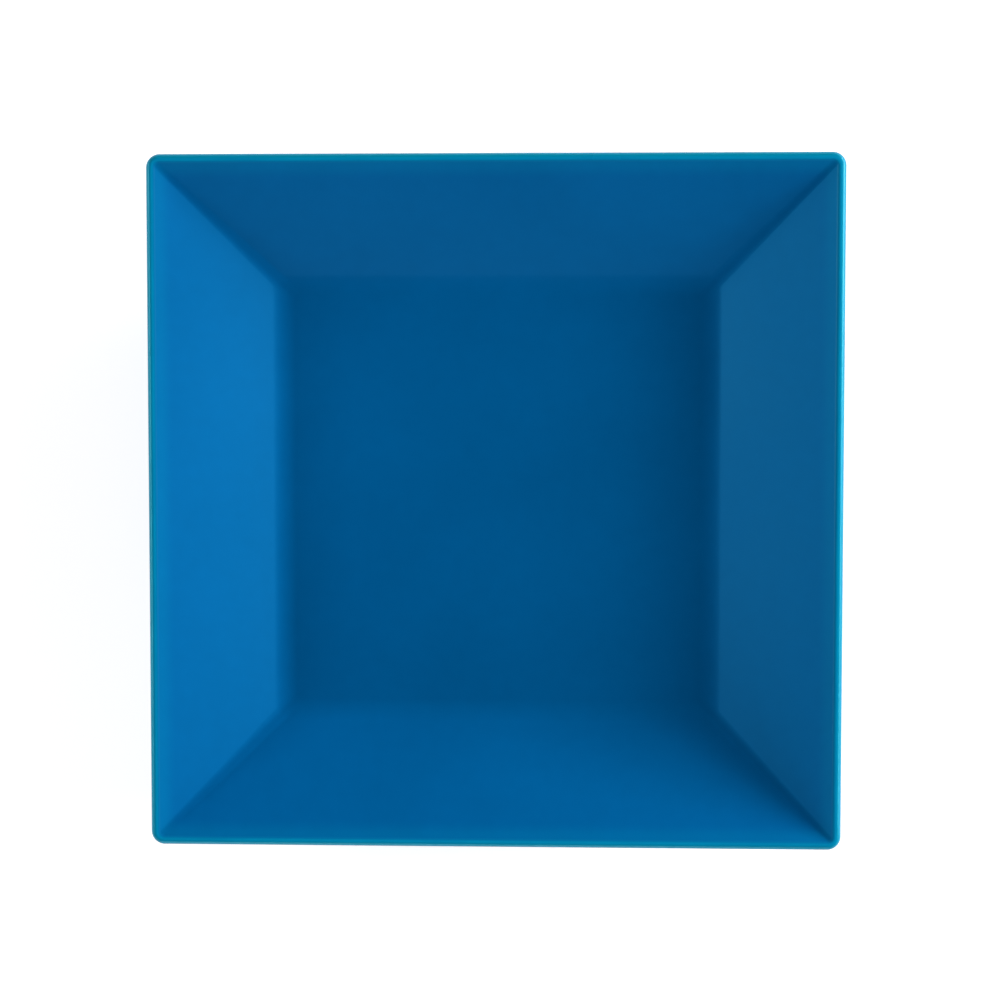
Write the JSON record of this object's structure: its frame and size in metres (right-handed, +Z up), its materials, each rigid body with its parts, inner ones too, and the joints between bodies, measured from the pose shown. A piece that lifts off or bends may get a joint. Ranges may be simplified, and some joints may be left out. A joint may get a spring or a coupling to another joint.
{
  "type": "square plate",
  "caption": "Square deep-rimmed plate with a flat floor, sloping walls that meet in mitred corners, a rounded lip and a low unglazed foot ring, for serving food.",
  "frame": {"origin": "middle of the plate on the table plane, under the foot ring", "axes": "+Z up out of the well; +X and +Y square to the walls"},
  "size_m": [0.254, 0.254, 0.034],
  "materials": {
    "bare_clay": "fine unglazed stoneware, matt",
    "blue_glaze": "smooth blue satin-gloss glaze",
    "lip_glaze": "the same glaze run thin over the lip, teal and glossy"
  },
  "bodies": {
    "root": {"clay_body": "bare_clay", "face_glaze": "blue_glaze", "lip_glaze": "lip_glaze", "outside_glaze": "blue_glaze", "base_glaze": "blue_glaze"}
  },
  "joints": []
}
